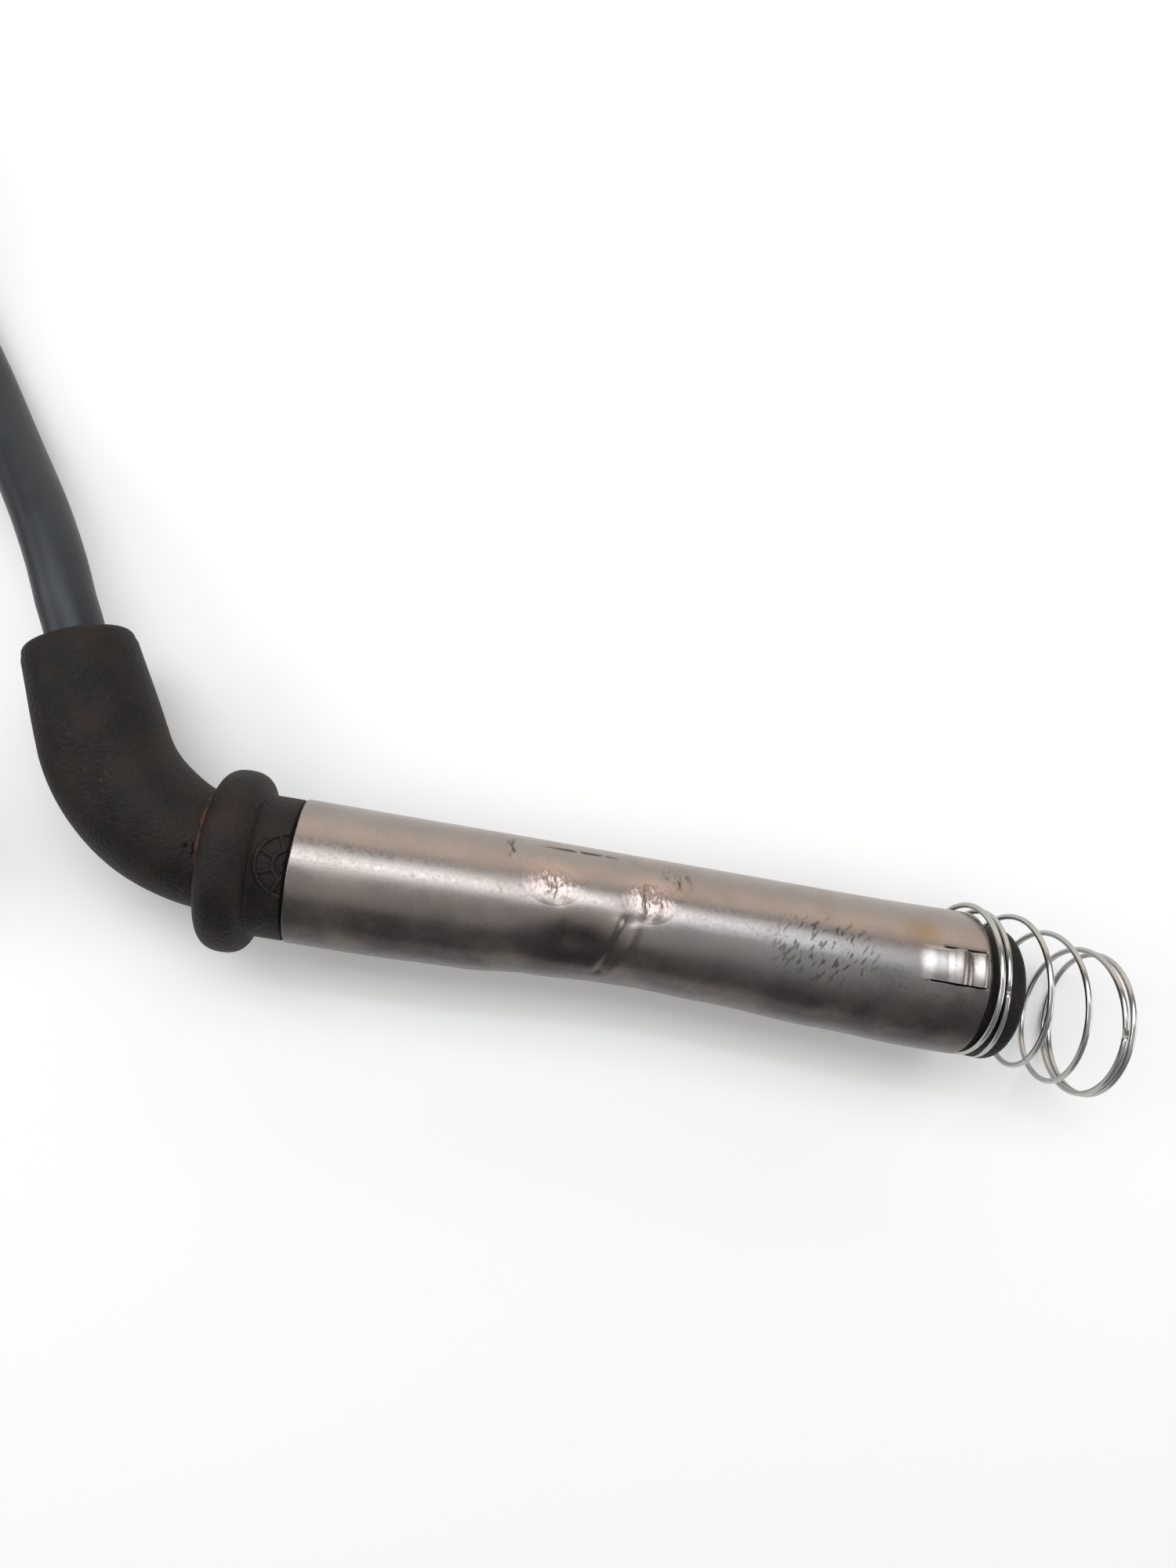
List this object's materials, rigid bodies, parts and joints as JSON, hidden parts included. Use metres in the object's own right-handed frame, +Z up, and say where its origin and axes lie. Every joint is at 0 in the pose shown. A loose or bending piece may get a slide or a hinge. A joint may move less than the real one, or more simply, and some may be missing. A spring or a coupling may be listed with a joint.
{
  "type": "ignition lead",
  "caption": "Angled rubber spark plug boot in a sliding aluminium heat shield with a ground spring at its mouth, and its cable coiled beside it.",
  "frame": {"origin": "on the floor plane, under the middle of the box round the plug boot, shield and spring", "axes": "+X along the shield's axis towards the plug, +Y to the side that the elbow turns to, +Z up from the floor that the boot's collar lies on"},
  "size_m": [0.2768, 0.1325, 0.0253],
  "materials": {
    "boot_rubber": "matt moulded silicone rubber, black with a brown cast",
    "cable_jacket": "satin black cable jacket",
    "cable_insulation": "pale silicone insulation",
    "cable_core": "carbon-loaded fibre core",
    "shield_aluminium": "drawn tube, scuffed and dented",
    "spring_wire": "bright spring wire",
    "terminal_plate": "tinned sheet",
    "tie_nylon": "black nylon"
  },
  "bodies": {
    "boot": {"plug_boot": "boot_rubber", "plug_terminal": "terminal_plate", "plug_terminal_clip": "spring_wire", "plug_lead_jacket": "cable_jacket", "plug_lead_insulation": "cable_insulation", "plug_lead_core": "cable_core", "lead_cable": "cable_jacket", "lead_coil": "cable_jacket", "lead_tail": "cable_jacket", "coil_tie_first": "tie_nylon", "coil_tie_second": "tie_nylon", "coil_boot": "boot_rubber", "coil_terminal": "terminal_plate", "coil_terminal_clip": "spring_wire", "coil_lead_jacket": "cable_jacket", "coil_lead_insulation": "cable_insulation", "coil_lead_core": "cable_core"},
    "shield": {"heat_shield": "shield_aluminium", "spring_seat_turns": "spring_wire", "spring_coils": "spring_wire"},
    "spring_end": {"spring_end_turns": "spring_wire"}
  },
  "joints": [
    {"name": "shield_slide", "type": "slide", "parent": "boot", "child": "shield", "axis": [1, 0, 0], "range_m": [0, 0.1]},
    {"name": "spring_compress", "type": "slide", "parent": "shield", "child": "spring_end", "axis": [-1, 0, 0], "range_m": [0, 0.01], "stiffness_N_per_m": 160, "deforming": ["spring_coils"]}
  ]
}
